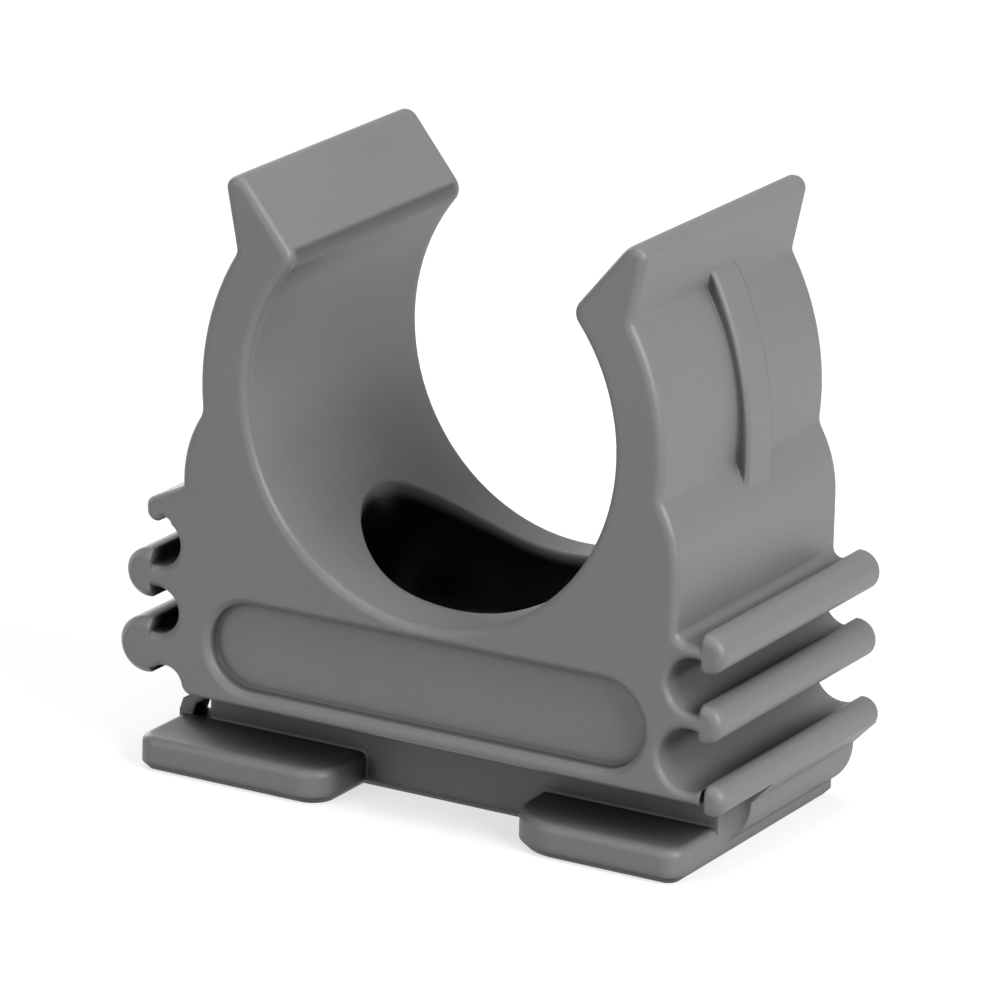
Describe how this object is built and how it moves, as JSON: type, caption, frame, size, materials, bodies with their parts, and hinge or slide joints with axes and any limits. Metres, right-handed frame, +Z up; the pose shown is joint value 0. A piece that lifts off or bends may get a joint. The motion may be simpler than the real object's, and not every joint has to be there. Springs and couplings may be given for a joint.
{
  "type": "conduit clip",
  "caption": "Moulded snap-in clip for round conduit, with sprung C arms, flared lips, a screw pocket and interlocking side ribs for joining clips in a row.",
  "frame": {"origin": "on the screw hole's axis, at the underside of the feet", "axes": "+Z up out of the conduit's mouth, +Y along the conduit towards the face without the slot, +X towards the side with the round ribs"},
  "size_m": [0.0334, 0.016, 0.0305],
  "materials": {
    "clip_body": "fine matte moulded plastic"
  },
  "bodies": {
    "root": {"clip_body": "clip_body"}
  },
  "joints": []
}
